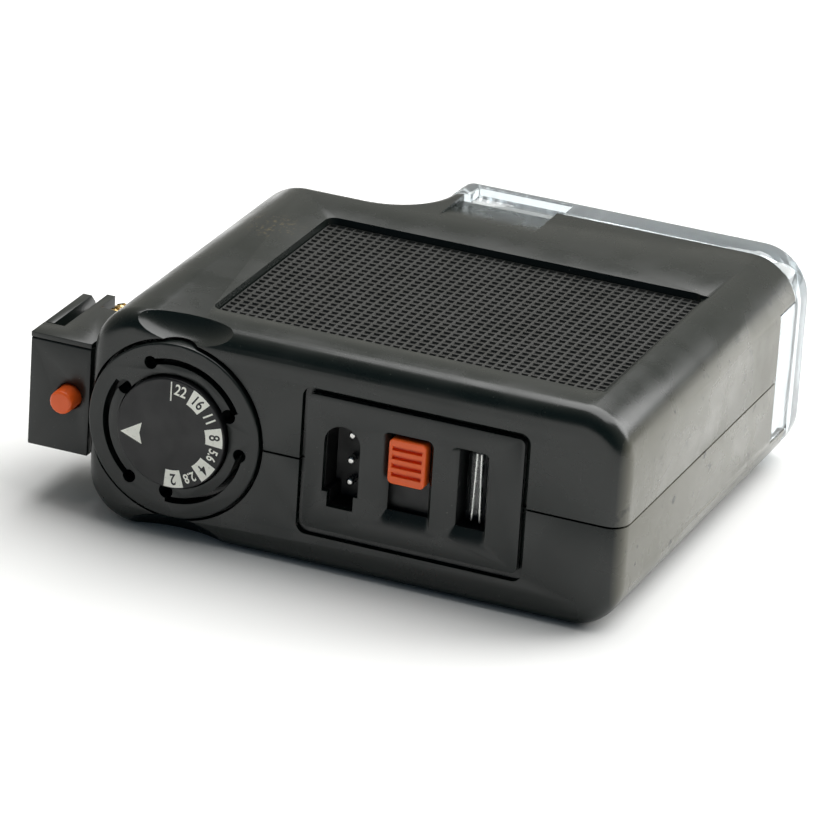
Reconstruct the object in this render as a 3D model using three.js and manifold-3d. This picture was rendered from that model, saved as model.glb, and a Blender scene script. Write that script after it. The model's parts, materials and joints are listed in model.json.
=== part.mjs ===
// Compact speedlight flash, lying on its long side with the control face towards -Y, the flash window
// towards +Y and the accessory-shoe foot towards -X. Millimetres, +Z up. Each piece is built in a working
// frame whose Y = 0 is the control face and whose Z = 0 is the resting face; one group then moves the
// whole flash so that the origin is the bottom centre of its bounding box.
import * as THREE from 'three';
import { mergeVertices } from 'three/addons/utils/BufferGeometryUtils.js';
import Module from 'manifold-3d';

const wasm = await Module();
wasm.setup();

// ---- driving dimensions ----
const bodyLeft = 2.2;
const bodyRight = 90;
const bodyHeight = 35.2;
const midHeight = bodyHeight / 2;
const shoulderY = 64.5;      // back face of the narrow part beside the foot
const rimY = 73.3;           // where the black shell ends and the clear window starts
const windowY = 80;          // front of the clear window
const headLeft = 29.8;       // left flank of the head
const endCorner = 8;         // corner radius of the body's section
const edgeRound = 3;         // rounding of the long edges at both ends
const wall = 2;
const broadWall = 3;         // top and bottom walls, thick enough for the grip recess
const seamGap = 0.2;
const seamZ = 17.5;
const fit = 0.2;             // clearance between fixed neighbours
const dialX = 17;
const dialRecess = { radius: 14.7, depth: 2.6 };
const dialFloorY = 5;        // inside face of the wall behind the dial
const ringRadius = 14.2;
const discRadius = 8.96;
const discFaceY = -1.6;
const grip = { x0: 18.5, x1: 81.7, y0: 8, y1: 52.8, corner: 1.7, depth: 2, proud: 0.9 };
const panel = { x0: 38.6, x1: 73.7, z0: 6.8, z1: 28.5, corner: 1, groove: 0.9, thick: 1.1 };
const knobTravel = 4.6;
const foot = { x0: -9.3, x1: 0.9, y0: 3.7, y1: 23.4, z0: 8.3, z1: 26.9 };
const footPlate = 1.5;       // thickness of the plate that slides into a shoe
const slotDepth = 3.05;      // how far the shoe's lips reach under the foot
const stopWallY = 8.2;
const buttonX = -2.6;
const cellRadius = 7.1;
const cellY = 23;
const cellSpan = [31, 81.5];
const door = { x0: 31.5, x1: 82.5, y0: 15.8, y1: 30.2, z0: 0.25, z1: 1.9, hingeX: 81.5, hingeZ: 1.1 };
const screwPlaces = [[12, 10], [10, 57], [82.6, 9], [82.6, 48]];

// ---- shape helpers ----
function solid(geometry) {
  const bare = geometry.clone();
  bare.deleteAttribute('normal');
  bare.deleteAttribute('uv');
  const merged = mergeVertices(bare, 1e-4);
  const index = merged.index.array;
  const kept = [];
  for (let i = 0; i < index.length; i += 3) {
    const [a, b, c] = [index[i], index[i + 1], index[i + 2]];
    if (a !== b && b !== c && c !== a) kept.push(a, b, c);
  }
  const vertProperties = new Float32Array(merged.attributes.position.array);
  return new wasm.Manifold(new wasm.Mesh({ numProp: 3, vertProperties, triVerts: new Uint32Array(kept) }));
}

function geometryOf(manifold) {
  const mesh = manifold.getMesh();
  const geometry = new THREE.BufferGeometry();
  geometry.setAttribute('position', new THREE.BufferAttribute(new Float32Array(mesh.vertProperties), 3));
  geometry.setIndex(new THREE.BufferAttribute(new Uint32Array(mesh.triVerts), 1));
  geometry.computeVertexNormals();
  return geometry;
}

function box(x0, x1, y0, y1, z0, z1) {
  const geometry = new THREE.BoxGeometry(x1 - x0, y1 - y0, z1 - z0);
  geometry.translate((x0 + x1) / 2, (y0 + y1) / 2, (z0 + z1) / 2);
  return solid(geometry);
}

// A round bar along one axis; its centre is given by the two other coordinates in x, y, z order.
function bar(axis, centre, radius, from, to, sides = 24) {
  const geometry = new THREE.CylinderGeometry(radius, radius, to - from, sides);
  const middle = (from + to) / 2;
  if (axis === 'x') geometry.rotateZ(-Math.PI / 2).translate(middle, centre[0], centre[1]);
  if (axis === 'y') geometry.translate(centre[0], middle, centre[1]);
  if (axis === 'z') geometry.rotateX(Math.PI / 2).translate(centre[0], centre[1], middle);
  return solid(geometry);
}

function roundedRect(x0, x1, y0, y1, right, left = right) {
  const shape = new THREE.Shape();
  shape.moveTo(x0 + left, y0);
  shape.lineTo(x1 - right, y0);
  shape.absarc(x1 - right, y0 + right, right, -Math.PI / 2, 0);
  shape.lineTo(x1, y1 - right);
  shape.absarc(x1 - right, y1 - right, right, 0, Math.PI / 2);
  shape.lineTo(x0 + left, y1);
  shape.absarc(x0 + left, y1 - left, left, Math.PI / 2, Math.PI);
  shape.lineTo(x0, y0 + left);
  shape.absarc(x0 + left, y0 + left, left, Math.PI, 1.5 * Math.PI);
  return shape;
}

function extruded(shape, length, bevel, curveSegments) {
  const bevelSegments = Math.max(1, Math.round(bevel));
  const options = { depth: length - 2 * bevel, bevelEnabled: bevel > 0, curveSegments };
  if (bevel > 0) Object.assign(options, { bevelThickness: bevel, bevelSize: bevel, bevelOffset: -bevel, bevelSegments });
  return new THREE.ExtrudeGeometry(shape, options).translate(0, 0, bevel);
}

function prismZ(shape, z0, z1, bevel = 0, segments = 5) {
  return solid(extruded(shape, z1 - z0, bevel, segments).translate(0, 0, z0));
}

// The shape's own axes become X and Z.
function prismY(shape, y0, y1, bevel = 0, segments = 5) {
  return solid(extruded(shape, y1 - y0, bevel, segments).rotateX(Math.PI / 2).translate(0, y1, 0));
}

// The shape's own axes become Y and Z.
function prismX(shape, x0, x1, segments = 5) {
  const turn = new THREE.Matrix4().makeBasis(
    new THREE.Vector3(0, 1, 0), new THREE.Vector3(0, 0, 1), new THREE.Vector3(1, 0, 0));
  return solid(extruded(shape, x1 - x0, 0, segments).applyMatrix4(turn).translate(x0, 0, 0));
}

function outline(points) {
  return new THREE.Shape(points.map(([x, y]) => new THREE.Vector2(x, y)));
}

function cut(manifold, ...tools) {
  return tools.reduce((left, tool) => left.subtract(tool), manifold);
}

function join(manifold, ...others) {
  return others.reduce((whole, other) => whole.add(other), manifold);
}

const flash = new THREE.Group();

function place(name, manifold, [color, roughness, metalness]) {
  const material = new THREE.MeshStandardMaterial({ color, roughness, metalness });
  const mesh = new THREE.Mesh(geometryOf(manifold), material);
  mesh.name = name;
  flash.add(mesh);
}

// ---- finishes: colour, roughness, metalness ----
const blackPlastic = [0x2b2d2c, 0.28, 0];
const darkPlastic = [0x1d1e1e, 0.45, 0];
const greyPlastic = [0x4a4b49, 0.5, 0];
const rubberGrip = [0x252625, 0.7, 0];
const orangePlastic = [0xd65a22, 0.35, 0];
const clearPlastic = [0xd9dedc, 0.12, 0];
const polished = [0xd8dadb, 0.12, 1];
const steel = [0xb0b2b4, 0.35, 1];
const brass = [0xb8964f, 0.35, 1];
const glass = [0xe8eceb, 0.05, 0];
const board = [0x2d6b3d, 0.55, 0];
const copper = [0xb46a3c, 0.4, 1];
const cellWrap = [0x34506e, 0.35, 0];

// ---- body shells ----
function bodyOutline(inset) {
  return roundedRect(bodyLeft + inset, bodyRight - inset, inset, bodyHeight - inset, endCorner - inset);
}

function bodySolid() {
  const main = prismY(bodyOutline(0), 0, shoulderY, edgeRound);
  const head = prismY(roundedRect(headLeft + 6, bodyRight, 0, bodyHeight, endCorner), shoulderY - 20, rimY);
  const hollowRadius = headLeft - 20.3;
  const neck = new THREE.Shape();
  neck.moveTo(12, 50);
  neck.lineTo(headLeft + 20, 50);
  neck.lineTo(headLeft + 20, rimY + 8);
  neck.lineTo(headLeft, rimY + 8);
  neck.lineTo(headLeft, shoulderY + hollowRadius);
  neck.absarc(headLeft - hollowRadius, shoulderY + hollowRadius, hollowRadius, 0, -Math.PI / 2, true);
  neck.lineTo(12, shoulderY);
  const flank = prismZ(neck, 0, bodyHeight, edgeRound);
  return cut(join(main, head, flank), box(-20, 120, rimY, rimY + 20, -5, 45));
}

function cavity() {
  const low = broadWall;
  const high = bodyHeight - broadWall;
  const x0 = bodyLeft + wall;
  const x1 = bodyRight - wall;
  const behindDial = prismY(roundedRect(x0, 40, low, high, 1, 6), dialFloorY, shoulderY - wall);
  const main = prismY(roundedRect(33, x1, low, high, 6, 1), 3, shoulderY - wall);
  const head = prismY(roundedRect(headLeft + wall, x1, low, high, 6, 1), shoulderY - 15, rimY + 5);
  return join(behindDial, main, head);
}

function bosses() {
  return join(...screwPlaces.map(([x, y]) => bar('z', [x, y], 3, broadWall - 0.5, bodyHeight - broadWall + 0.5, 16)));
}

function topNotch() {
  const ramp = outline([[63, bodyHeight], [rimY + 1, bodyHeight - 1.4], [rimY + 1, 40], [63, 40]]);
  return prismX(ramp, 33, 49);
}

function thumbScallop(z) {
  const ball = new THREE.SphereGeometry(1, 20, 12).scale(8.6, 5, 5.2).translate(dialX + 1, -1, z);
  return solid(ball);
}

function windowTab(gap) {
  return box(88.5 - gap, bodyRight + 1, 66.5 - gap, rimY + 1, 7.2 - gap, 28.6 + gap);
}

const gripPocket = prismZ(roundedRect(grip.x0, grip.x1, grip.y0, grip.y1, grip.corner),
  bodyHeight - grip.depth, 40);
const panelPocket = prismY(roundedRect(panel.x0 - panel.groove, panel.x1 + panel.groove, 5.5, 29.5, 1.7),
  -1, panel.thick + 0.1);
const panelHole = box(40, 72.4, -1, 4, 8, 27.2);
const footHole = box(0, 5, 6.8, 20.2, 11.8, 23.2);
const dialPocket = bar('y', [dialX, midHeight], dialRecess.radius, -4, dialRecess.depth, 40);
const hubHole = bar('y', [dialX, midHeight], 3.3, 0, dialFloorY + 1, 24);
const notch = topNotch();
const lowNotch = notch.mirror([0, 0, 1]).translate([0, 0, bodyHeight]);

let shell = join(cut(bodySolid(), cavity()), bosses());
shell = cut(shell, gripPocket, panelPocket, panelHole, footHole, dialPocket, hubHole, notch, lowNotch);
shell = cut(shell, thumbScallop(37), thumbScallop(bodyHeight - 37), windowTab(fit));
for (const [x, y] of screwPlaces) {
  shell = cut(shell, bar('z', [x, y], 2.6, -1, 3.2, 16), bar('z', [x, y], 1.3, 2, 26, 16));
}

const doorLip = 0.8;
const doorHole = join(
  box(door.x0 + 1, door.hingeX, door.y0 + doorLip, door.y1 - doorLip, -1, broadWall + 0.5),
  box(door.x0 - fit, door.x1 + fit, door.y0 - fit, door.y1 + fit, -1, door.z1 + fit),
  box(door.hingeX - 2, door.x1 + 0.8, door.y0 - fit, door.y1 + fit, -1, broadWall + 0.5),
  bar('y', [door.hingeX, door.hingeZ], 0.5, door.y0 - 1.3, door.y1 + 1.3, 12));
shell = cut(shell, doorHole);

place('upper_shell', cut(shell, box(-20, 120, -20, 120, -20, seamZ + seamGap / 2)), blackPlastic);
place('lower_shell', cut(shell, box(-20, 120, -20, 120, seamZ - seamGap / 2, 60)), blackPlastic);

for (const [index, [x, y]] of screwPlaces.entries()) {
  const screw = join(bar('z', [x, y], 2.2, 0.8, 3, 16), bar('z', [x, y], 1, 2.9, 25, 12));
  place(`case_screw_${index + 1}`, cut(screw, box(x - 1.5, x + 1.5, y - 0.3, y + 0.3, 0, 1.4)), steel);
}

const padBase = bodyHeight - grip.depth + 0.1;
place('grip_pad', prismZ(roundedRect(grip.x0 + fit, grip.x1 - fit, grip.y0 + fit, grip.y1 - fit, 1.5),
  padBase, bodyHeight - grip.depth + grip.proud), rubberGrip);

// ---- control panel: socket, power switch and ready lamp ----
function archedSlot() {
  const shape = new THREE.Shape();
  shape.moveTo(42.5, 10.8);
  shape.lineTo(46.8, 10.8);
  shape.lineTo(46.8, 13.2);
  shape.lineTo(47.5, 13.2);
  shape.absarc(44.55, 21.25, 2.95, 0, Math.PI);
  shape.lineTo(41.6, 13.2);
  shape.lineTo(42.5, 13.2);
  return shape;
}

const plate = prismY(roundedRect(panel.x0, panel.x1, panel.z0, panel.z1, panel.corner), 0, panel.thick);
const socketSlot = prismY(archedSlot(), -1, 5.5, 0, 8);
place('control_panel', cut(plate, socketSlot, box(52, 58.6, -1, 2, 12.2, 24.5), box(63.1, 67.8, -1, 2, 12, 24.5)),
  blackPlastic);

const innerFace = panel.thick + fit;
const pinHeights = [21.5, 17.4, 13.9];
const pinX = 44.6;
let socket = cut(box(40.4, 48.8, innerFace, 6.5, 9, 26), socketSlot);
for (const [index, z] of pinHeights.entries()) {
  socket = cut(socket, bar('y', [pinX, z], 0.8, 5, 7, 12));
  place(`socket_pin_${index + 1}`, bar('y', [pinX, z], 0.62, 3.5, 8, 12), steel);
}
place('socket_housing', socket, darkPlastic);

const switchFloorY = 2.2;
place('switch_body', cut(box(50.4, 60, switchFloorY, 7.5, 10, 26.5), box(54.3, 56.1, 2, 5, 16.5, 24.2)), greyPlastic);
const knobFace = cut(prismY(roundedRect(52.2, 58.2, 17, 24.3, 0.8), -0.4, 1.9, 0.3, 3),
  ...[18.6, 20, 21.4, 22.8].map((z) => box(52.9, 57.5, -1, 0.1, z - 0.25, z + 0.25)));
place('power_knob', join(knobFace, box(54.7, 55.7, 1.8, 4.5, 21.8, 23.6)), orangePlastic);

const lampX = 65.45;
const lampY = 3.2;
place('lamp_holder', cut(box(61.5, 69.4, innerFace, 6, 10, 26.4), box(63, 67.9, 1, 5.2, 11.6, 25)), greyPlastic);
let lamp = new THREE.CapsuleGeometry(1.6, 8, 3, 12).rotateX(Math.PI / 2).translate(lampX, lampY, 19);
lamp = solid(lamp);
for (const [index, side] of [-0.65, 0.65].entries()) {
  lamp = cut(lamp, bar('z', [lampX + side, lampY], 0.4, 12, 22.5, 8));
  place(`lamp_electrode_${index + 1}`, bar('z', [lampX + side, lampY], 0.22, 12.2, 22, 8), steel);
}
place('ready_lamp', lamp, glass);

// ---- exposure dial ----
function ringSlots() {
  const tools = [];
  for (let i = 0; i < 3; i += 1) {
    const start = THREE.MathUtils.degToRad(26 + 120 * i);
    const end = start + THREE.MathUtils.degToRad(86);
    const arc = new THREE.Shape();
    arc.absarc(0, 0, 11.7, start, end);
    arc.absarc(0, 0, 10.8, end, start, true);
    tools.push(solid(extruded(arc, 8, 0, 12).rotateX(Math.PI / 2).translate(dialX, 4, midHeight)));
    const bulb = [dialX + 11.25 * Math.cos(end), midHeight + 11.25 * Math.sin(end)];
    const hook = [dialX + 10 * Math.cos(start), midHeight + 10 * Math.sin(start)];
    tools.push(bar('y', bulb, 1, -4, 4, 12), bar('y', hook, 1.1, -4, 4, 12));
  }
  return tools;
}

const ringBody = prismY(new THREE.Shape().absarc(dialX, midHeight, ringRadius, 0, 2 * Math.PI), -0.6, 2.3, 0.3, 20);
const ringBore = bar('y', [dialX, midHeight], discRadius + 0.3, -4, 4, 32);
place('dial_ring', cut(ringBody, ringBore, ...ringSlots()), blackPlastic);

const discBody = prismY(new THREE.Shape().absarc(dialX, midHeight, discRadius, 0, 2 * Math.PI),
  discFaceY, 2.3, 0.3, 20);
place('dial_disc', join(discBody, bar('y', [dialX, midHeight], 3, 2, 6.8, 20)), darkPlastic);
place('dial_retainer', cut(bar('y', [dialX, midHeight], 5.5, dialFloorY + fit, 6.2, 24),
  bar('y', [dialX, midHeight], 3.2, 4, 7, 24)), steel);

// ---- accessory-shoe foot with its test button ----
const lipX = foot.x0 + footPlate;      // inner face of the plate
const blockX = -5.9;                   // face of the block that the shoe's lips lie on
const coverY = 5.3;
const springY = 12;
let housing = join(
  box(blockX, foot.x1, coverY, foot.y1, foot.z0, foot.z1),
  box(foot.x0, blockX + 1, coverY, stopWallY, foot.z0, foot.z1),
  box(foot.x0, foot.x1, foot.y0, coverY + 1, 26.1, foot.z1),
  box(foot.x1 - 0.5, 5, 7, 20, 12, 23),
  box(4.5, 6, 6, 21, 10.5, 24.5));
housing = cut(housing, bar('y', [buttonX, seamZ], 2.9, 4, springY, 20), bar('x', [15.5, midHeight], 1.9, -7, -2.5, 16),
  box(-4.5, -0.5, 18, 30, 23, 30));
for (const z of [12.9, 22.3]) housing = cut(housing, bar('x', [20.5, z], 0.9, -7, -1.5, 12));
place('foot_housing', housing, blackPlastic);

place('foot_cover', cut(box(foot.x0, foot.x1, foot.y0, coverY - 0.1, foot.z0, 26),
  bar('y', [buttonX, seamZ], 2.1, 0, 8, 20)), blackPlastic);

const chamfer = 1.6;
const railPlate = prismX(outline([
  [stopWallY + fit, foot.z0], [foot.y1 - chamfer, foot.z0], [foot.y1, foot.z0 + chamfer],
  [foot.y1, foot.z1 - chamfer], [foot.y1 - chamfer, foot.z1], [stopWallY + fit, foot.z1]]), foot.x0, lipX);
const neckHalf = (foot.z1 - foot.z0) / 2 - slotDepth;
let rail = join(railPlate,
  box(lipX - 0.5, blockX - 0.1, stopWallY + fit, foot.y1, midHeight - neckHalf, midHeight + neckHalf));
rail = cut(rail, bar('x', [15.5, midHeight], 1.9, -11, -5, 16));
for (const z of [12.9, 22.3]) {
  rail = cut(rail, bar('x', [20.5, z], 1.4, -11, -8.1, 12), bar('x', [20.5, z], 0.9, -9, -5, 12));
}
place('foot_rail', rail, blackPlastic);
for (const [index, z] of [12.9, 22.3].entries()) {
  const screw = join(bar('x', [20.5, z], 1.2, -9.2, -8.3, 12), bar('x', [20.5, z], 0.7, -8.4, -2, 12));
  place(`foot_screw_${index + 1}`, cut(screw, box(-10, -8.9, 20.3, 20.7, z - 0.9, z + 0.9)), steel);
}
place('shoe_contact', bar('x', [15.5, midHeight], 1.6, foot.x0, -3.8, 16), brass);

place('test_button', join(
  prismY(new THREE.Shape().absarc(buttonX, seamZ, 1.9, 0, 2 * Math.PI), 0.7, 7, 0.3, 8),
  bar('y', [buttonX, seamZ], 2.6, coverY + 0.2, 6.4, 20)), orangePlastic);

// A wire wound into a helix of a given radius about the Y axis, with its ends inside y0 and y1.
function coil(x, z, y0, y1, radius, wire, turns) {
  class Helix extends THREE.Curve {
    getPoint(t, target = new THREE.Vector3()) {
      const angle = 2 * Math.PI * turns * t;
      const y = y0 + wire + (y1 - y0 - 2 * wire) * t;
      return target.set(x + radius * Math.cos(angle), y, z + radius * Math.sin(angle));
    }
  }
  const section = new THREE.Shape().absarc(0, 0, wire, 0, 2 * Math.PI);
  return solid(new THREE.ExtrudeGeometry(section,
    { steps: turns * 8, extrudePath: new Helix(), curveSegments: 2, bevelEnabled: false }));
}

place('test_button_spring', coil(buttonX, seamZ, 8.8, springY - 0.2, 1.7, 0.25, 3), steel);
place('foot_spring', coil(-2.4, 25.2, 18.5, 23, 1.3, 0.25, 4), brass);

// ---- flash head ----
const rimOutline = roundedRect(headLeft, bodyRight, 0, bodyHeight, endCorner, edgeRound);
const glassRound = 1.5;
let lens = prismY(rimOutline, rimY - 8, windowY, glassRound, 6);
lens = cut(lens, box(-20, 120, rimY - 20, rimY + fit, -5, 45));
lens = cut(lens, box(headLeft + wall, bodyRight - wall, rimY - 1, 77.2, 3.5, 31.7));
lens = cut(lens, box(34, 50, rimY - 1, 77.5, bodyHeight - 1.4, 40));
const tab = windowTab(0).intersect(prismY(rimOutline, 60, rimY + 1));
place('flash_window', join(lens, tab), clearPlastic);

const troughDepth = 14;
const troughHalf = 13;
function parabola(y0, half) {
  const points = [];
  for (let i = 0; i <= 12; i += 1) {
    const z = half * (i / 6 - 1);
    points.push([y0 + troughDepth * (z / half) ** 2, midHeight + z]);
  }
  return outline(points);
}
const tubeY = 62.5;
place('reflector', cut(prismX(parabola(58.2, troughHalf), 35, 85), prismX(parabola(59, troughHalf - 0.4), 35.6, 84.4),
  box(30, 90, 72.2, 80, 0, 40), bar('x', [tubeY, midHeight], 2.2, 30, 90, 16)), polished);
place('flash_tube', bar('x', [tubeY, midHeight], 1.9, 34.4, 85.6, 16), glass);
place('tube_cap_1', bar('x', [tubeY, midHeight], 2.6, 32.4, 34.2, 16), steel);
place('tube_cap_2', bar('x', [tubeY, midHeight], 2.6, 85.8, 87.6, 16), steel);

// ---- electronics ----
const boardTop = 13.6;
place('circuit_board', box(14, 29.5, 24, 61, 12, boardTop), board);
place('transformer', join(box(15, 28, 27, 29.5, boardTop + fit, 26), box(15, 28, 35.5, 38, boardTop + fit, 26),
  bar('y', [21.5, 20], 5, 29, 36, 20)), copper);
place('power_transistor', box(15.5, 20.5, 42, 46, boardTop + fit, 24), darkPlastic);
place('trigger_capacitor', box(23, 28, 42, 47, boardTop + fit, 21), orangePlastic);
place('trigger_coil', bar('z', [21.5, 54.5], 3.2, boardTop + fit, 24, 16), copper);
place('main_capacitor', join(bar('x', [43.5, midHeight], 10.5, 36, 79, 28),
  bar('x', [40, midHeight], 1, 34, 36.5, 8), bar('x', [47, midHeight], 1, 34, 36.5, 8)), cellWrap);

for (const [index, z] of [10.4, 24.9].entries()) {
  const body = bar('x', [cellY, z], cellRadius, cellSpan[0], cellSpan[1] - 1.2, 28);
  place(`battery_cell_${index + 1}`, join(body, bar('x', [cellY, z], 2.6, cellSpan[1] - 2, cellSpan[1], 14)), cellWrap);
  place(`battery_contact_${index + 1}`, box(81.8, 82.2, cellY - 4, cellY + 4, z - 5, z + 5), brass);
}
place('battery_bridge', box(30.3, 30.7, cellY - 4, cellY + 4, 6, 29.3), brass);

const doorBody = prismZ(roundedRect(door.x0, door.x1, door.y0, door.y1, 0.8), door.z0, door.z1, 0, 3);
place('battery_door', cut(doorBody, bar('y', [door.hingeX, door.hingeZ], 0.5, 0, 50, 12),
  ...[34, 36, 38].map((x) => box(x, x + 0.8, door.y0 + 3, door.y1 - 3, 0, 0.6))), blackPlastic);
place('battery_door_pin', bar('y', [door.hingeX, door.hingeZ], 0.32, door.y0 - 1, door.y1 + 1, 12), steel);

flash.position.set(-(foot.x0 + bodyRight) / 2, -(discFaceY + windowY) / 2, 0);
export default flash;
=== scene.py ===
import json
import math
import bmesh
import bpy
from mathutils import Matrix, Vector


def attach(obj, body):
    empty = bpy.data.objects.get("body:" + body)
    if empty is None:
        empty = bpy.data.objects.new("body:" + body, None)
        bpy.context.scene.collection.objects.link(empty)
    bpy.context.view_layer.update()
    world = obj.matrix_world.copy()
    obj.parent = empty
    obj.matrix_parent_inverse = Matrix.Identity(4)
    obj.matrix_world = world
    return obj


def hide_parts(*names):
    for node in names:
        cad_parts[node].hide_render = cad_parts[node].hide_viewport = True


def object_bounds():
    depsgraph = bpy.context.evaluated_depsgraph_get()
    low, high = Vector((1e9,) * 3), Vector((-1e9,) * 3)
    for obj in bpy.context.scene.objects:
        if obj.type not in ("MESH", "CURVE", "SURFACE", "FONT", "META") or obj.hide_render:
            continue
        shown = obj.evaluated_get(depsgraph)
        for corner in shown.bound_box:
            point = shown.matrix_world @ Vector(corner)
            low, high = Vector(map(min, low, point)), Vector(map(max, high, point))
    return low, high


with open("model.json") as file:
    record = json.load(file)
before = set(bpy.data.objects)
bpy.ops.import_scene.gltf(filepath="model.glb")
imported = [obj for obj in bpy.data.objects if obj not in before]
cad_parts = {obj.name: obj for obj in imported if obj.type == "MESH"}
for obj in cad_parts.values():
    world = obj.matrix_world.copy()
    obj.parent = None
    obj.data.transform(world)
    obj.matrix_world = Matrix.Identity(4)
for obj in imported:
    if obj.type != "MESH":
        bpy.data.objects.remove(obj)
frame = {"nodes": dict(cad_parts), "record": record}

# ---- working frame: millimetres, Y = 0 on the control face, Z = 0 on the resting face ----
MM = 0.001
CAD_BOX = [list(corner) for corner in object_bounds()]
LOW, HIGH = [Vector(corner) / MM for corner in CAD_BOX]
FOOT_LEFT = -9.3                        # outer face of the shoe foot in the working frame
WINDOW_Y = 80.0                         # front of the clear window
ORIGIN = Vector((LOW.x - FOOT_LEFT, HIGH.y - WINDOW_Y, LOW.z))

BODY_LEFT, BODY_RIGHT, BODY_HEIGHT = 2.2, HIGH.x - ORIGIN.x, HIGH.z - ORIGIN.z
MID_Z = BODY_HEIGHT / 2
SHOULDER_Y, RIM_Y, HEAD_LEFT = 64.5, 73.3, 29.8
END_CORNER, EDGE_ROUND = 8.0, 3.0
WALL, BROAD_WALL = 2.0, 3.0
SEAM_Z, SEAM_GAP = 17.5, 0.32
DIAL_X = 17.0
DIAL_RECESS, DIAL_RECESS_DEPTH, HUB_HOLE = 14.7, 2.6, 3.3
RING_RADIUS, RING_FACE_Y, RING_BACK_Y = 14.2, -0.6, 2.3
DISC_RADIUS, DISC_FACE_Y = 8.96, -1.6
SLOT_INNER, SLOT_OUTER, SLOT_SWEEP = 10.75, 11.75, 86   # the ring's spring fingers, sweep in degrees
SLOT_STARTS = (26, 146, 266)
PRINT_INNER, PRINT_OUTER, PRINT_HALF = 5.9, 8.72, 11    # white boxes on the disc, half width in degrees
PRINT_HEIGHT = 0.03
NUMBER_RADIUS = 7.3
GRIP = {"x0": 18.5, "x1": 81.7, "y0": 8.0, "y1": 52.8, "corner": 1.7, "depth": 2.0, "proud": 0.9}
PANEL = {"x0": 38.6, "x1": 73.7, "z0": 6.8, "z1": 28.5, "corner": 1.0, "groove": 0.9, "thick": 1.1}
PANEL_OPENING = (40, 72.4, 8, 27.2)     # through the shells behind the panel: x0, x1, z0, z1
KNOB_SLOT, KNOB_SCOOP = (52, 58.6, 12.2, 24.5), (51, 59.3, 10, 25)
LAMP_SLOT, LAMP_SCOOP = (63.1, 67.8, 12, 24.5), (62, 68.3, 10, 25)
SCOOP_DEPTH = 0.95
SOCKET_PIN_X, SOCKET_PIN_RADIUS, SOCKET_PINS = 44.6, 0.62, (21.5, 17.4, 13.9)
LAMP = {"x": 65.45, "y": 3.2, "radius": 1.6, "wall": 0.3, "bottom": 13.4, "top": 24.6}
SCREWS = [(12, 10), (10, 57), (82.6, 9), (82.6, 48)]
SCREW_HEAD_HOLE = 2.6
LENS_BACK_Y = 77.2                      # inner face of the clear window
FAR = 120                               # past the object on every side


def at(x, y, z):
    """A point of the working frame, in the frame's metres."""
    return (Vector((x, y, z)) + ORIGIN) * MM


# ---- camera: a long lens about a metre away, looking down on the control face ----
def make_camera():
    azimuth, elevation, roll = (math.radians(a) for a in (21.59, 22.779, 3.717))
    ahead = Vector((-math.sin(azimuth) * math.cos(elevation),
                    math.cos(azimuth) * math.cos(elevation), -math.sin(elevation)))
    level = Vector((math.cos(azimuth), math.sin(azimuth), 0))
    above = level.cross(ahead)
    right = math.cos(roll) * level + math.sin(roll) * above
    up = -math.sin(roll) * level + math.cos(roll) * above
    data = bpy.data.cameras.new("camera")
    data.lens, data.sensor_width = 272.35, 36.0
    data.clip_start, data.clip_end = 0.05, 20.0
    camera = bpy.data.objects.new("camera", data)
    turn = Matrix((right, up, -ahead)).transposed().to_4x4()
    camera.matrix_world = Matrix.Translation(at(366.0, -786.6, 384.8)) @ turn
    bpy.context.scene.collection.objects.link(camera)
    bpy.context.scene.camera = camera


# ---- mesh helpers ----
def new_object(name, bm):
    mesh = bpy.data.meshes.new(name)
    bmesh.ops.recalc_face_normals(bm, faces=bm.faces)
    bm.to_mesh(mesh)
    bm.free()
    obj = bpy.data.objects.new(name, mesh)
    bpy.context.scene.collection.objects.link(obj)
    return obj


def arc(cx, cy, radius, start, end, steps):
    """Points of an arc, with its angles in degrees."""
    angles = [math.radians(start + (end - start) * i / steps) for i in range(steps + 1)]
    return [(cx + radius * math.cos(a), cy + radius * math.sin(a)) for a in angles]


def rounded(x0, x1, y0, y1, right, left=None, steps=12):
    """A rounded rectangle as a function of how far it is inset."""
    left = right if left is None else left

    def outline(inset):
        r, l = max(right - inset, 0.01), max(left - inset, 0.01)
        a, b, c, d = x0 + inset, x1 - inset, y0 + inset, y1 - inset
        return (arc(b - r, c + r, r, -90, 0, steps) + arc(b - r, d - r, r, 0, 90, steps)
                + arc(a + l, d - l, l, 90, 180, steps) + arc(a + l, c + l, l, 180, 270, steps))
    return outline


def disc(cx, cy, radius, steps=96):
    return lambda inset: arc(cx, cy, radius - inset, 0, 360 * (1 - 1 / steps), steps - 1)


AXES = {"x": lambda u, v, w: (w, u, v), "y": lambda u, v, w: (u, w, v), "z": lambda u, v, w: (u, v, w)}


def prism(name, outline, axis, start, end, round_start=0.0, round_end=0.0, steps=6):
    """An outline drawn along an axis, with its edges rounded at either end."""
    layers = []
    for step in range(steps + 1 if round_start else 1):
        turn = math.pi / 2 * (step / steps if round_start else 1)
        layers.append((round_start * (1 - math.sin(turn)), start + round_start * (1 - math.cos(turn))))
    for step in range(steps + 1 if round_end else 1):
        turn = math.pi / 2 * (1 - step / steps if round_end else 1)
        layers.append((round_end * (1 - math.sin(turn)), end - round_end * (1 - math.cos(turn))))
    bm = bmesh.new()
    rings = []
    for inset, along in layers:
        rings.append([bm.verts.new(at(*AXES[axis](u, v, along))) for u, v in outline(inset)])
    for low, high in zip(rings, rings[1:]):
        for i in range(len(low)):
            j = (i + 1) % len(low)
            bm.faces.new((low[i], low[j], high[j], high[i]))
    bm.faces.new(rings[0][::-1])
    bm.faces.new(rings[-1])
    return new_object(name, bm)


def block(x0, x1, y0, y1, z0, z1):
    return prism("tool", lambda inset: [(x0, y0), (x1, y0), (x1, y1), (x0, y1)], "z", z0, z1)


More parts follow.
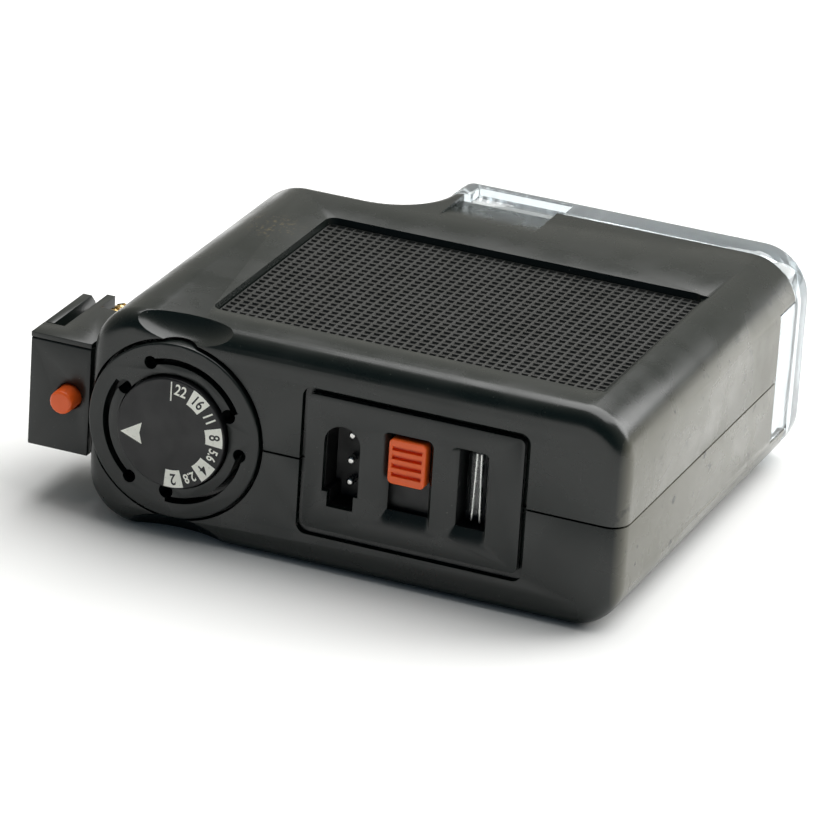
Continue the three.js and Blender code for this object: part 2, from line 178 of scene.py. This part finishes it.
def frustum(outer, inner, y_outer, y_inner):
    """A sloping pocket with round corners, whose mouth is larger than its floor."""
    bm = bmesh.new()
    rings = []
    for sides, corner, y in ((outer, 1.2, y_outer), (inner, 0.5, y_inner)):
        rings.append([bm.verts.new(at(x, y, z)) for x, z in rounded(*sides, corner, steps=6)(0)])
    count = len(rings[0])
    for i in range(count):
        j = (i + 1) % count
        bm.faces.new((rings[0][i], rings[0][j], rings[1][j], rings[1][i]))
    bm.faces.new(rings[0][::-1])
    bm.faces.new(rings[1])
    return new_object("tool", bm)


def bake(obj):
    """Replaces an object's mesh by what its modifiers make of it."""
    bpy.context.view_layer.update()
    graph = bpy.context.evaluated_depsgraph_get()
    mesh = bpy.data.meshes.new_from_object(obj.evaluated_get(graph))
    obj.modifiers.clear()
    obj.data = mesh


def boolean(target, tools, operation="DIFFERENCE"):
    for tool in tools:
        modifier = target.modifiers.new("cut", "BOOLEAN")
        modifier.operation, modifier.solver, modifier.object = operation, "EXACT", tool
        bake(target)
        bpy.data.objects.remove(tool)
    return target


def soften(obj, width, segments=2, angle=32):
    """Breaks every sharp edge with a small rounding and shades the rest smooth."""
    bm = bmesh.new()
    bm.from_mesh(obj.data)
    bmesh.ops.remove_doubles(bm, verts=bm.verts, dist=0.002 * MM)
    bmesh.ops.dissolve_limit(bm, angle_limit=math.radians(1), verts=bm.verts, edges=bm.edges)
    bm.to_mesh(obj.data)
    bm.free()
    modifier = obj.modifiers.new("soften", "BEVEL")
    modifier.width, modifier.segments = width * MM, segments
    modifier.limit_method, modifier.angle_limit = "ANGLE", math.radians(angle)
    modifier.use_clamp_overlap = True
    bake(obj)
    obj.data.shade_smooth()
    obj.data.set_sharp_from_angle(angle=math.radians(angle))
    return obj


def finish_piece(obj, material, body, slot, *nodes):
    obj.data.materials.clear()
    obj.data.materials.append(material)
    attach(obj, body)
    if nodes:
        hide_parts(*nodes)
    return obj


def refined(node, body, slot, material, width):
    """The CAD part's own shape with its edges broken, in place of the faceted node."""
    obj = bpy.data.objects.new(node + "_fine", frame["nodes"][node].data.copy())
    bpy.context.scene.collection.objects.link(obj)
    soften(obj, width)
    return finish_piece(obj, material, body, slot, node)


# ---- materials ----
class Nodes:
    """A short way to write a material's node tree around its Principled shader."""

    def __init__(self, name, color, roughness, **sockets):
        self.material = bpy.data.materials.new(name)
        self.material.use_nodes = True
        self.tree = self.material.node_tree
        self.shader = self.tree.nodes["Principled BSDF"]
        self.shader.inputs["Base Color"].default_value = (*color, 1)
        self.shader.inputs["Roughness"].default_value = roughness
        for socket, value in sockets.items():
            self.shader.inputs[socket.replace("_", " ")].default_value = value
        self.place = self.tree.nodes.new("ShaderNodeTexCoord").outputs["Object"]

    def link(self, source, target):
        self.tree.links.new(source, target)

    def noise(self, size_mm, detail=4.0):
        """Noise whose features are about size_mm across."""
        node = self.tree.nodes.new("ShaderNodeTexNoise")
        node.inputs["Scale"].default_value = 1 / (size_mm * MM)
        node.inputs["Detail"].default_value = detail
        self.link(self.place, node.inputs["Vector"])
        return node.outputs["Fac"]

    def ramp(self, source, low, high, start=0.0, end=1.0):
        node = self.tree.nodes.new("ShaderNodeMapRange")
        for socket, value in (("From Min", low), ("From Max", high), ("To Min", start), ("To Max", end)):
            node.inputs[socket].default_value = value
        self.link(source, node.inputs["Value"])
        return node.outputs["Result"]

    def times(self, first, second):
        node = self.tree.nodes.new("ShaderNodeMath")
        node.operation = "MULTIPLY"
        self.link(first, node.inputs[0])
        self.link(second, node.inputs[1])
        return node.outputs[0]

    def tint(self, mask, color, strength=1.0):
        """Lays a colour over the base wherever the mask is high."""
        mix = self.tree.nodes.new("ShaderNodeMix")
        mix.data_type = "RGBA"
        base = self.shader.inputs["Base Color"]
        if base.is_linked:
            self.link(base.links[0].from_socket, mix.inputs["A"])
        else:
            mix.inputs["A"].default_value = base.default_value
        mix.inputs["B"].default_value = (*color, 1)
        self.link(self.ramp(mask, 0, 1, 0, strength), mix.inputs["Factor"])
        self.link(mix.outputs["Result"], base)

    def rough(self, source):
        self.link(source, self.shader.inputs["Roughness"])

    def bump(self, height, depth_mm, strength=0.5):
        node = self.tree.nodes.new("ShaderNodeBump")
        node.inputs["Strength"].default_value = strength
        node.inputs["Distance"].default_value = depth_mm * MM
        self.link(height, node.inputs["Height"])
        self.link(node.outputs["Normal"], self.shader.inputs["Normal"])

    def painted_reflection_mask(self):
        """High on the right flank, where the colour is lightened as a painted reflection of the bright
        table.
        """
        split = self.tree.nodes.new("ShaderNodeSeparateXYZ")
        self.link(self.place, split.inputs[0])
        right = at(BODY_RIGHT, 0, 0).x
        return self.ramp(split.outputs["X"], right - 1.6 * MM, right - 0.2 * MM)

    def near(self, center, size):
        """A soft mask around a point of the working frame, in millimetres."""
        node = self.tree.nodes.new("ShaderNodeVectorMath")
        node.operation = "DISTANCE"
        self.link(self.place, node.inputs[0])
        node.inputs[1].default_value = at(*center)
        return self.ramp(node.outputs["Value"], size * MM, 0.3 * size * MM)


def black_plastic(name, roughness=(0.2, 0.36), color=(0.0044, 0.0078, 0.0062), wear_and_painted_reflection=True):
    m = Nodes(name, color, roughness[0])
    m.rough(m.ramp(m.noise(9), 0.3, 0.72, *roughness))
    m.tint(m.ramp(m.noise(0.28, 1.0), 0.76, 0.8), (0.22, 0.22, 0.2), 0.5)
    # real rubbed wear patches, then a painted reflection on the right flank
    if wear_and_painted_reflection:
        for center, size in (((13, 44, BODY_HEIGHT), 6), ((5.5, 47, 33), 5), ((5, 62, 33), 4)):
            rubbed = m.times(m.near(center, size), m.ramp(m.noise(0.6, 3.0), 0.58, 0.63))
            m.tint(rubbed, (0.17, 0.13, 0.06), 0.4)
        # painted reflection: lighter grey patches on the right flank stand in for the bright table that the
        # black plastic would mirror
        flank = m.ramp(m.noise(2.6, 4.0), 0.27, 0.37)
        m.tint(m.times(m.painted_reflection_mask(), flank), (0.15, 0.145, 0.115), 0.75)
    m.bump(m.noise(0.35, 1.0), 0.006, 0.15)
    return m.material


def satin_plastic(name, color, roughness=0.45):
    m = Nodes(name, color, roughness)
    m.rough(m.ramp(m.noise(3), 0.3, 0.7, roughness - 0.08, roughness + 0.1))
    m.tint(m.ramp(m.noise(1.2, 5.0), 0.62, 0.75), tuple(c * 0.6 + 0.003 for c in color), 0.5)
    m.bump(m.noise(0.25, 2.0), 0.01, 0.4)
    return m.material


def grip_material():
    m = Nodes("grip_rubber", (0.008, 0.0085, 0.007), 0.42)
    m.rough(m.ramp(m.noise(5), 0.3, 0.7, 0.34, 0.55))
    m.tint(m.ramp(m.noise(0.5, 3.0), 0.66, 0.74), (0.12, 0.115, 0.1), 0.35)
    m.bump(m.noise(0.2, 2.0), 0.01, 0.4)
    return m.material


def metal(name, color, roughness=0.25):
    m = Nodes(name, color, roughness, Metallic=1.0)
    m.rough(m.ramp(m.noise(1.5), 0.3, 0.7, roughness * 0.7, roughness * 1.4))
    m.bump(m.noise(0.15, 2.0), 0.005, 0.3)
    return m.material


def clear_material(name, color, roughness, transmission, ior=1.49):
    m = Nodes(name, color, roughness, Transmission_Weight=transmission, IOR=ior)
    m.bump(m.noise(2.5, 2.0), 0.01, 0.2)
    return m.material


def printed_white():
    m = Nodes("printed_white", (0.93, 0.93, 0.84), 0.5)
    m.tint(m.ramp(m.noise(0.4, 4.0), 0.6, 0.72), (0.35, 0.34, 0.28), 0.5)
    m.bump(m.noise(0.2, 1.0), 0.005, 0.2)
    return m.material


SHELL = black_plastic("shell_plastic")
TRIM = black_plastic("trim_plastic", (0.24, 0.4), (0.0042, 0.0072, 0.006), wear_and_painted_reflection=False)
DISC = satin_plastic("disc_plastic", (0.0028, 0.003, 0.0036), 0.42)
SOCKET = satin_plastic("socket_plastic", (0.003, 0.003, 0.003), 0.5)
GREY = satin_plastic("grey_plastic", (0.008, 0.009, 0.009), 0.5)
ORANGE = satin_plastic("orange_plastic", (0.86, 0.115, 0.012), 0.36)
GRIP_RUBBER = grip_material()
WHITE = printed_white()
STEEL = metal("steel", (0.62, 0.62, 0.6))
BRASS = metal("brass", (0.66, 0.47, 0.2), 0.3)
COPPER = metal("copper", (0.55, 0.24, 0.1), 0.35)
MIRROR = metal("reflector_metal", (0.86, 0.87, 0.88), 0.16)
WINDOW = clear_material("window_acrylic", (0.86, 0.92, 0.95), 0.05, 0.9)
GLASS = clear_material("lamp_glass", (0.97, 0.98, 0.98), 0.02, 1.0, 1.3)
BOARD = satin_plastic("board_laminate", (0.03, 0.13, 0.05), 0.5)
SLEEVE = satin_plastic("cell_sleeve", (0.03, 0.06, 0.13), 0.35)


# ---- body shells ----
def head_flank(inset):
    """The concave sweep from the narrow end up to the head's left flank."""
    radius = HEAD_LEFT - 20.3
    center_x, center_y = HEAD_LEFT - radius, SHOULDER_Y + radius
    sweep = arc(center_x, center_y, radius + inset, 0, -90, 16)
    x1, y1 = HEAD_LEFT + 20 - inset, RIM_Y + 8 - inset
    return [(12 + inset, 50 + inset), (x1, 50 + inset), (x1, y1), (HEAD_LEFT + inset, y1), *sweep,
            (12 + inset, SHOULDER_Y - inset)]


def body_form():
    main = prism("shell", rounded(BODY_LEFT, BODY_RIGHT, 0, BODY_HEIGHT, END_CORNER), "y", 0, SHOULDER_Y,
                 EDGE_ROUND, EDGE_ROUND)
    head = prism("tool", rounded(HEAD_LEFT + 6, BODY_RIGHT, 0, BODY_HEIGHT, END_CORNER), "y",
                 SHOULDER_Y - 20, RIM_Y + 3)
    flank = prism("tool", head_flank, "z", 0, BODY_HEIGHT, EDGE_ROUND, EDGE_ROUND)
    boolean(main, [head, flank], "UNION")
    return boolean(main, [block(-20, FAR, RIM_Y, RIM_Y + 20, -5, 45)])


def cavity_tools():
    low, high = BROAD_WALL, BODY_HEIGHT - BROAD_WALL
    left, right = BODY_LEFT + WALL, BODY_RIGHT - WALL
    main = prism("tool", rounded(left, 40, low, high, 1, 6), "y", 5, SHOULDER_Y - WALL)
    front = prism("tool", rounded(33, right, low, high, 6, 1), "y", 3, SHOULDER_Y - WALL)
    head = prism("tool", rounded(HEAD_LEFT + WALL, right, low, high, 6, 1), "y", SHOULDER_Y - 15, RIM_Y + 5)
    return [main, front, head]


def notch_tool(mirrored):
    """The sloping notch that takes an accessory's clip on the head's edge."""
    heights = [BODY_HEIGHT, BODY_HEIGHT - 1.35, BODY_HEIGHT + 4, BODY_HEIGHT + 4]
    z = [BODY_HEIGHT - h for h in heights] if mirrored else heights
    profile = list(zip((63, RIM_Y + 1, RIM_Y + 1, 63), z))
    return prism("tool", lambda inset: profile, "x", 33, 49)


def scallop_tool(z):
    bm = bmesh.new()
    bmesh.ops.create_uvsphere(bm, u_segments=64, v_segments=32, radius=1)
    for vert in bm.verts:
        x, y, up = vert.co
        vert.co = at(DIAL_X + 0.5 + 10 * x, -1 + 5.2 * y, z + 5.3 * up)
    return new_object("tool", bm)


def shell_cuts():
    pocket = prism("tool", rounded(GRIP["x0"], GRIP["x1"], GRIP["y0"], GRIP["y1"], GRIP["corner"]), "z",
                   BODY_HEIGHT - GRIP["depth"], 40)
    groove = PANEL["groove"]
    panel = prism("tool", rounded(PANEL["x0"] - groove, PANEL["x1"] + groove, 5.5, 29.5, 1.7), "y",
                  -1, PANEL["thick"] + 0.1)
    x0, x1, z0, z1 = PANEL_OPENING
    tools = [pocket, panel, block(x0, x1, -1, 4, z0, z1), block(0, 5, 6.8, 20.2, 11.8, 23.2),
             prism("tool", disc(DIAL_X, MID_Z, DIAL_RECESS), "y", -4, DIAL_RECESS_DEPTH),
             prism("tool", disc(DIAL_X, MID_Z, HUB_HOLE, 32), "y", 0, 6),
             notch_tool(False), notch_tool(True), scallop_tool(37), scallop_tool(BODY_HEIGHT - 37),
             block(88.3, BODY_RIGHT + 1, 66.3, RIM_Y + 1, 7.0, 28.8)]
    for x, y in SCREWS:
        tools.append(prism("tool", disc(x, y, SCREW_HEAD_HOLE, 32), "z", -1, 3.2))
    right, bevel_width, bevel_depth = GRIP["x1"], 0.95, 0.6
    edge = [(right - 1, BODY_HEIGHT - bevel_depth), (right, BODY_HEIGHT - bevel_depth),
            (right + bevel_width, BODY_HEIGHT), (right + bevel_width, BODY_HEIGHT + 1),
            (right - 1, BODY_HEIGHT + 1)]
    tools.append(prism("tool", lambda inset: edge, "y", GRIP["y0"] + 0.4, GRIP["y1"] - 0.4))
    tools.append(block(32.5, 81.5, 16.6, 29.4, -1, 3.5))
    tools.append(block(31.3, 82.7, 15.6, 30.4, -1, 2.1))
    tools.append(block(79.5, 83.3, 15.6, 30.4, -1, 3.5))
    return tools


def make_shells():
    body = boolean(body_form(), cavity_tools())
    boolean(body, shell_cuts())
    upper = body
    lower = bpy.data.objects.new("lower_shell_fine", body.data.copy())
    bpy.context.scene.collection.objects.link(lower)
    upper.name = "upper_shell_fine"
    boolean(upper, [block(-20, FAR, -20, FAR, -20, SEAM_Z + SEAM_GAP / 2)])
    boolean(lower, [block(-20, FAR, -20, FAR, SEAM_Z - SEAM_GAP / 2, 60)])
    for obj, node in ((upper, "upper_shell"), (lower, "lower_shell")):
        soften(obj, 0.16)
        finish_piece(obj, SHELL, "body", "black_plastic", node)


# ---- waffle grip: rows of square pits between thin raised ribs ----
def make_grip():
    top = BODY_HEIGHT - GRIP["depth"] + GRIP["proud"]
    margin, pit_depth, rib = 0.3, 0.3, 0.34
    x0, x1, y0, y1 = GRIP["x0"] + margin, GRIP["x1"] - margin, GRIP["y0"] + margin, GRIP["y1"] - margin
    columns, rows = round((x1 - x0) / 1.5), round((y1 - y0) / 1.5)
    pitch_x, pitch_y = (x1 - x0) / columns, (y1 - y0) / rows
    bm = bmesh.new()

    def stations(first, pitch, count):
        values = [first]
        for i in range(count):
            values += [first + i * pitch + rib / 2, first + (i + 1) * pitch - rib / 2]
        return values + [first + count * pitch]

    xs, ys = stations(x0, pitch_x, columns), stations(y0, pitch_y, rows)
    grid = [[bm.verts.new(at(x, y, top)) for y in ys] for x in xs]
    for i in range(len(xs) - 1):
        for j in range(len(ys) - 1):
            corners = [grid[i][j], grid[i + 1][j], grid[i + 1][j + 1], grid[i][j + 1]]
            if i % 2 == 0 or j % 2 == 0:
                bm.faces.new(corners)
                continue
            middle = sum((v.co for v in corners), Vector()) / 4
            floor = []
            for vert in corners:
                point = middle.lerp(vert.co, 0.72)
                point.z -= pit_depth * MM
                floor.append(bm.verts.new(point))
            for k in range(4):
                n = (k + 1) % 4
                bm.faces.new((corners[k], corners[n], floor[n], floor[k]))
            bm.faces.new(floor)
    rim = [e for e in bm.edges if e.is_boundary]
    skirt = bmesh.ops.extrude_edge_only(bm, edges=rim)["geom"]
    lowered = [v for v in skirt if isinstance(v, bmesh.types.BMVert)]
    for vert in lowered:
        vert.co.z = at(0, 0, BODY_HEIGHT - GRIP["depth"] + 0.05).z
    base = [e for e in skirt if isinstance(e, bmesh.types.BMEdge) and e.is_boundary]
    bmesh.ops.contextual_create(bm, geom=base)
    pad = new_object("grip_pad_waffle", bm)
    finish_piece(pad, GRIP_RUBBER, "body", "rubber_grip", "grip_pad")


# ---- control panel: sync socket, power switch and ready lamp ----
def socket_outline(inset):
    i = inset
    return [(42.5 + i, 10.8 + i), (46.8 - i, 10.8 + i), (46.8 - i, 13.2 + i), (47.5 - i, 13.2 + i),
            *arc(44.55, 21.25, 2.95 - i, 0, 180, 16), (41.6 + i, 13.2 + i), (42.5 + i, 13.2 + i)]


def make_panel():
    outline = rounded(PANEL["x0"], PANEL["x1"], PANEL["z0"], PANEL["z1"], PANEL["corner"])
    plate = prism("control_panel_fine", outline, "y", 0, PANEL["thick"])
    slots = [block(x0, x1, -1, 3, z0, z1) for x0, x1, z0, z1 in (KNOB_SLOT, LAMP_SLOT)]
    boolean(plate, [prism("tool", socket_outline, "y", -1, 3), *slots,
                    frustum(KNOB_SCOOP, KNOB_SLOT, -0.01, SCOOP_DEPTH),
                    frustum(LAMP_SCOOP, LAMP_SLOT, -0.01, SCOOP_DEPTH)])
    soften(plate, 0.12)
    finish_piece(plate, TRIM, "body", "black_plastic", "control_panel")

    inner = PANEL["thick"] + 0.2
    housing = prism("socket_housing_fine", rounded(40.4, 48.8, 9, 26, 0.4, steps=3), "y", inner, 6.5)
    boolean(housing, [prism("tool", socket_outline, "y", 0, 5.5)])
    soften(housing, 0.1)
    finish_piece(housing, SOCKET, "body", "dark_plastic", "socket_housing")
    for number, z in enumerate(SOCKET_PINS, start=1):
        pin_outline = disc(SOCKET_PIN_X, z, SOCKET_PIN_RADIUS, 24)
        pin = prism(f"socket_pin_{number}_fine", pin_outline, "y", 3.5, 8, 0.35)
        pin.data.shade_smooth()
        pin.data.set_sharp_from_angle(angle=math.radians(40))
        finish_piece(pin, STEEL, "body", "steel", f"socket_pin_{number}")

    knob = prism("power_knob_fine", rounded(52.2, 58.2, 17, 24.3, 0.8, steps=6), "y", -0.4, 1.9, 0.25)
    boolean(knob, [block(54.7, 55.7, 1.8, 4.5, 21.8, 23.6)], "UNION")
    boolean(knob, [block(52.8, 57.6, -1, 0.35, z - 0.32, z + 0.32) for z in (18.6, 20, 21.4, 22.8)])
    soften(knob, 0.12)
    finish_piece(knob, ORANGE, "switch", "orange_plastic", "power_knob")


# ---- exposure dial ----
def ring_slots():
    tools = []
    middle = (SLOT_INNER + SLOT_OUTER) / 2
    for first in SLOT_STARTS:
        last = first + SLOT_SWEEP
        start, end = math.radians(first), math.radians(last)
        outline = (arc(DIAL_X, MID_Z, SLOT_OUTER, first, last, 40)
                   + arc(DIAL_X, MID_Z, SLOT_INNER, last, first, 40))
        tools.append(prism("tool", lambda inset, points=outline: points, "y", -4, 4))
        bulb = (DIAL_X + middle * math.cos(end), MID_Z + middle * math.sin(end))
        hook = (DIAL_X + 10 * math.cos(start), MID_Z + 10 * math.sin(start))
        tools.append(prism("tool", disc(*bulb, 1.05, 32), "y", -4, 4))
        tools.append(prism("tool", disc(*hook, 1.15, 32), "y", -4, 4))
    return tools


def dial_frame(radius, degrees):
    """A place on the dial's face whose own up points outwards, as seen from the control side."""
    a = math.radians(degrees)
    across, out = Vector((math.sin(a), 0, -math.cos(a))), Vector((math.cos(a), 0, math.sin(a)))
    turn = Matrix((across, out, Vector((0, -1, 0)))).transposed().to_4x4()
    place = at(DIAL_X + radius * math.cos(a), DISC_FACE_Y, MID_Z + radius * math.sin(a))
    return Matrix.Translation(place) @ turn


def raised_print(name, outline, sink=0.02):
    """Flat white print standing a hundredth of a millimetre off the dial's face."""
    mark = prism(name, outline, "y", DISC_FACE_Y + sink, DISC_FACE_Y + sink - PRINT_HEIGHT)
    return finish_piece(mark, WHITE, "body", "dark_plastic")


def dial_number(text, degrees, material):
    curve = bpy.data.curves.new("number", "FONT")
    curve.body, curve.size = text, (2.1 if "." in text else 2.5) * MM
    curve.align_x, curve.align_y = "CENTER", "CENTER"
    curve.extrude, curve.offset = 0.015 * MM, 0.045 * MM
    maker = bpy.data.objects.new("number", curve)
    bpy.context.scene.collection.objects.link(maker)
    bpy.context.view_layer.update()
    mesh = bpy.data.meshes.new_from_object(maker.evaluated_get(bpy.context.evaluated_depsgraph_get()))
    bpy.data.objects.remove(maker)
    mesh.transform(Matrix.Diagonal((0.8, 1, 1, 1)))
    mesh.transform(dial_frame(NUMBER_RADIUS, degrees))
    obj = bpy.data.objects.new("dial_number_" + text.replace(".", "_"), mesh)
    bpy.context.scene.collection.objects.link(obj)
    finish_piece(obj, material, "body", "dark_plastic")


def make_dial():
    ring = prism("dial_ring_fine", disc(DIAL_X, MID_Z, RING_RADIUS), "y", RING_FACE_Y, RING_BACK_Y, 0.35)
    boolean(ring, [prism("tool", disc(DIAL_X, MID_Z, DISC_RADIUS + 0.3), "y", -4, 4), *ring_slots()])
    soften(ring, 0.12)
    finish_piece(ring, TRIM, "dial", "black_plastic", "dial_ring")

    face = prism("dial_disc_fine", disc(DIAL_X, MID_Z, DISC_RADIUS), "y", DISC_FACE_Y, RING_BACK_Y, 0.3)
    boolean(face, [prism("tool", disc(DIAL_X, MID_Z, 3, 32), "y", 2, 6.8)], "UNION")
    soften(face, 0.05)
    finish_piece(face, DISC, "body", "dark_plastic", "dial_disc")

    angles = (79, 54.5, 31, 7, -16, -39, -61, -83.5)
    for index, (text, degrees) in enumerate(zip(("22", "16", "11", "8", "5.6", "4", "2.8", "2"), angles)):
        boxed = index % 2 == 1
        if boxed:
            low, high = degrees - PRINT_HALF, degrees + PRINT_HALF
            sector = (arc(DIAL_X, MID_Z, PRINT_OUTER, low, high, 10)
                      + arc(DIAL_X, MID_Z, PRINT_INNER, high, low, 10))
            raised_print(f"dial_box_{index}", lambda inset, points=sector: points)
        dial_number(text, degrees, DISC if boxed else WHITE)
    line = [(DIAL_X - 0.25, MID_Z + 5.4), (DIAL_X - 0.05, MID_Z + 5.4), (DIAL_X - 0.05, MID_Z + 8.5),
            (DIAL_X - 0.25, MID_Z + 8.5)]
    raised_print("dial_line", lambda inset: line)
    arrow = [(8.75, 16.3), (12.35, 14.9), (11.9, 16.65), (12.25, 18.4)]
    raised_print("dial_arrow", lambda inset: arrow)


# ---- clear window ----
def make_window():
    rim = rounded(HEAD_LEFT, BODY_RIGHT, 0, BODY_HEIGHT, END_CORNER, EDGE_ROUND)
    lens = prism("flash_window_fine", rim, "y", RIM_Y + 0.2, WINDOW_Y, 0, 1.5)
    slab = block(HEAD_LEFT + WALL, BODY_RIGHT - WALL, RIM_Y - 1, LENS_BACK_Y, 3.5, 31.7)
    boolean(lens, [slab, block(34, 50, RIM_Y - 1, 77.5, BODY_HEIGHT - 1.4, 40)])
    tab = prism("tool", rim, "y", 66.5, RIM_Y + 1)
    boolean(tab, [block(88.5, 95, 60, 80, 7.2, 28.6)], "INTERSECT")
    boolean(lens, [tab], "UNION")
    grooves = []
    for index in range(24):
        x = 34 + index * 2.2
        profile = [(x - 0.9, LENS_BACK_Y - 0.2), (x + 0.9, LENS_BACK_Y - 0.2), (x, LENS_BACK_Y + 0.7)]
        grooves.append(prism("tool", lambda inset, points=profile: points, "z", 4.5, 30.7))
    boolean(lens, grooves)
    soften(lens, 0.15)
    finish_piece(lens, WINDOW, "body", "clear_plastic", "flash_window")


def make_ready_lamp():
    """A hollow glass tube with two bright electrodes that lean together at the top."""
    x, y, bottom, top = LAMP["x"], LAMP["y"], LAMP["bottom"], LAMP["top"]
    tube = prism("ready_lamp_fine", disc(x, y, LAMP["radius"], 48), "z", bottom, top, 1.2, 1.2, 10)
    bore = disc(x, y, LAMP["radius"] - LAMP["wall"], 48)
    boolean(tube, [prism("tool", bore, "z", bottom - 1, top - 0.5, 0, 1.0, 8)])
    tube.data.shade_smooth()
    tube.data.set_sharp_from_angle(angle=math.radians(50))
    finish_piece(tube, GLASS, "body", "glass", "ready_lamp")
    for number, side in ((1, -1), (2, 1)):
        bm = bmesh.new()
        bmesh.ops.create_cone(bm, cap_ends=True, segments=16, radius1=0.2 * MM, radius2=0.26 * MM, depth=1.0)
        foot, tip = at(x + 0.65 * side, y, 12.2), at(x + 0.35 * side, y, 23.4)
        along = tip - foot
        turn = along.to_track_quat("Z", "Y").to_matrix().to_4x4()
        bmesh.ops.transform(bm, verts=bm.verts, matrix=Matrix.Translation((foot + tip) / 2) @ turn
                            @ Matrix.Diagonal((1, 1, along.length, 1)))
        rod = new_object(f"lamp_electrode_{number}_fine", bm)
        rod.data.shade_smooth()
        rod.data.set_sharp_from_angle(angle=math.radians(50))
        finish_piece(rod, STEEL, "body", "steel", f"lamp_electrode_{number}")


def make_refined_parts():
    """CAD parts whose shape already holds, with their edges broken."""
    for node, body, slot, material, width in (
            ("foot_housing", "body", "black_plastic", TRIM, 0.2),
            ("foot_cover", "body", "black_plastic", TRIM, 0.2),
            ("foot_rail", "body", "black_plastic", TRIM, 0.15),
            ("test_button", "button", "orange_plastic", ORANGE, 0.1),
            ("battery_door", "door", "black_plastic", TRIM, 0.12),
            ("switch_body", "body", "grey_plastic", GREY, 0.1),
            ("lamp_holder", "body", "grey_plastic", GREY, 0.12),
            ("shoe_contact", "contact", "brass", BRASS, 0.15)):
        refined(node, body, slot, material, width)


def finish_cad_nodes():
    """Gives every CAD node the material of its slot; hidden nodes keep it harmlessly."""
    by_slot = {"black_plastic": TRIM, "dark_plastic": DISC, "grey_plastic": GREY, "rubber_grip": GRIP_RUBBER,
               "orange_plastic": ORANGE, "clear_plastic": WINDOW, "polished_metal": MIRROR, "steel": STEEL,
               "brass": BRASS, "glass": GLASS, "board": BOARD, "copper": COPPER, "cell_wrap": SLEEVE}
    for row in frame["record"]["subparts"]:
        slots = frame["nodes"][row["node"]].data.materials
        slots.clear()
        slots.append(by_slot[row["material_slot"]])


# ---- floor and light ----
def one_sided(paper):
    """Lets the underside of the object be seen through the floor from below."""
    tree = paper.tree
    mix = tree.nodes.new("ShaderNodeMixShader")
    tree.links.new(tree.nodes.new("ShaderNodeNewGeometry").outputs["Backfacing"], mix.inputs["Fac"])
    tree.links.new(paper.shader.outputs["BSDF"], mix.inputs[1])
    tree.links.new(tree.nodes.new("ShaderNodeBsdfTransparent").outputs["BSDF"], mix.inputs[2])
    tree.links.new(mix.outputs["Shader"], tree.nodes["Material Output"].inputs["Surface"])


def make_stage():
    bm = bmesh.new()
    for x, y in ((-1, -1), (1, -1), (1, 1), (-1, 1)):
        bm.verts.new((3 * x, 3 * y, -0.02 * MM))
    bm.faces.new(bm.verts)
    floor = new_object("floor", bm)
    paper = Nodes("paper", (0.88, 0.88, 0.87), 0.9)
    paper.bump(paper.noise(2), 0.01, 0.1)
    one_sided(paper)
    floor.data.materials.append(paper.material)
    world = bpy.data.worlds.new("studio")
    world.use_nodes = True
    tree = world.node_tree
    split = tree.nodes.new("ShaderNodeSeparateXYZ")
    tree.links.new(tree.nodes.new("ShaderNodeTexCoord").outputs["Generated"], split.inputs[0])
    fade = tree.nodes.new("ShaderNodeMapRange")
    fade.inputs["From Min"].default_value, fade.inputs["From Max"].default_value = -0.75, 0.25
    tree.links.new(split.outputs["Y"], fade.inputs["Value"])
    mix = tree.nodes.new("ShaderNodeMix")
    mix.data_type = "RGBA"
    mix.inputs["A"].default_value = (0.07, 0.13, 0.19, 1)
    mix.inputs["B"].default_value = (1.0, 0.98, 0.9, 1)
    tree.links.new(fade.outputs["Result"], mix.inputs["Factor"])
    background = tree.nodes["Background"]
    tree.links.new(mix.outputs["Result"], background.inputs["Color"])
    background.inputs["Strength"].default_value = 0.42
    bpy.context.scene.world = world


def softbox(name, center, target, size, power):
    data = bpy.data.lights.new(name, "AREA")
    data.shape, data.size, data.size_y, data.energy = "RECTANGLE", size[0], size[1], power
    lamp = bpy.data.objects.new(name, data)
    bpy.context.scene.collection.objects.link(lamp)
    lamp.location = center
    lamp.rotation_euler = (Vector(target) - Vector(center)).to_track_quat("-Z", "Y").to_euler()


make_camera()
finish_cad_nodes()
make_shells()
make_grip()
make_panel()
make_dial()
make_window()
make_ready_lamp()
make_refined_parts()
make_stage()
softbox("overhead", (0.15, 0.5, 1.3), (0.02, 0.15, 0), (1.6, 1.4), 29)
softbox("back_right", (0.9, 0.9, 0.7), (0.2, 0.15, 0), (0.9, 0.7), 11)
bpy.context.scene.view_settings.view_transform = "Standard"
